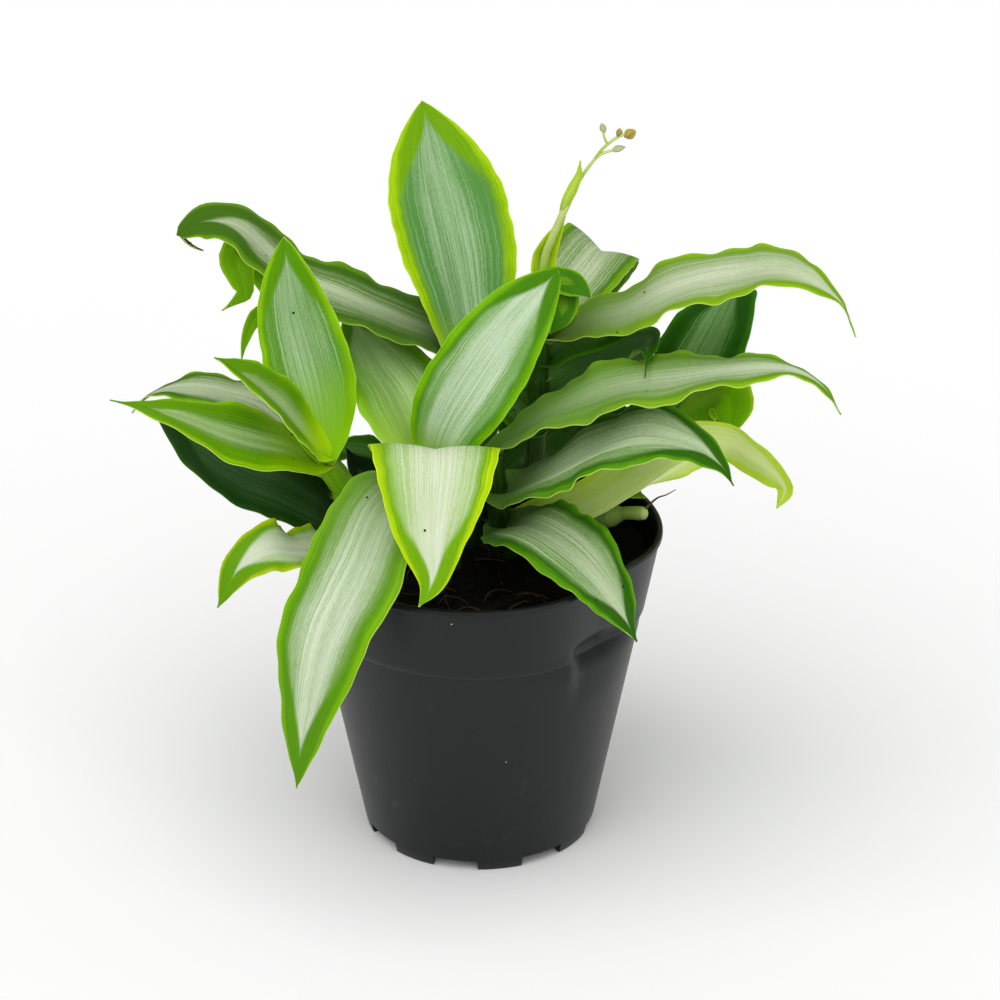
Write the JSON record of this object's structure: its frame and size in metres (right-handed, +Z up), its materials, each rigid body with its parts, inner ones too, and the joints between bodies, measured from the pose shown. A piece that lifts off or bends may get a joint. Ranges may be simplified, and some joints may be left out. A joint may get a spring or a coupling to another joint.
{
  "type": "potted bright star murdannia",
  "caption": "Round nursery pot of peat with a bushy cluster of leafy shoots: long pointed leaves with pale striped centres, waved lime edges and a thin flower stalk.",
  "frame": {"origin": "under the middle of the pot, on the plane that its feet stand on; the whole plant's box is centred on it", "axes": "+Z up along the pot's axis, -Y towards the front, where the hanging leaf is, +X to the right"},
  "size_m": [0.2322, 0.1527, 0.2425],
  "materials": {
    "pot_plastic": "thin black nursery pot plastic with a soft sheen",
    "peat": "dark damp peat with fine fibres",
    "leaf": "leaf green with a silvery striped centre and lime edges, softly shining",
    "stem": "pale green stem"
  },
  "bodies": {
    "root": {"pot": "pot_plastic", "soil": "peat", "left_shoot": "leaf", "front_shoot": "leaf", "middle_shoot": "leaf", "flower_shoot": "leaf", "right_shoot": "leaf", "back_right_shoot": "leaf", "back_left_shoot": "leaf", "cut_stump": "stem"}
  },
  "joints": []
}
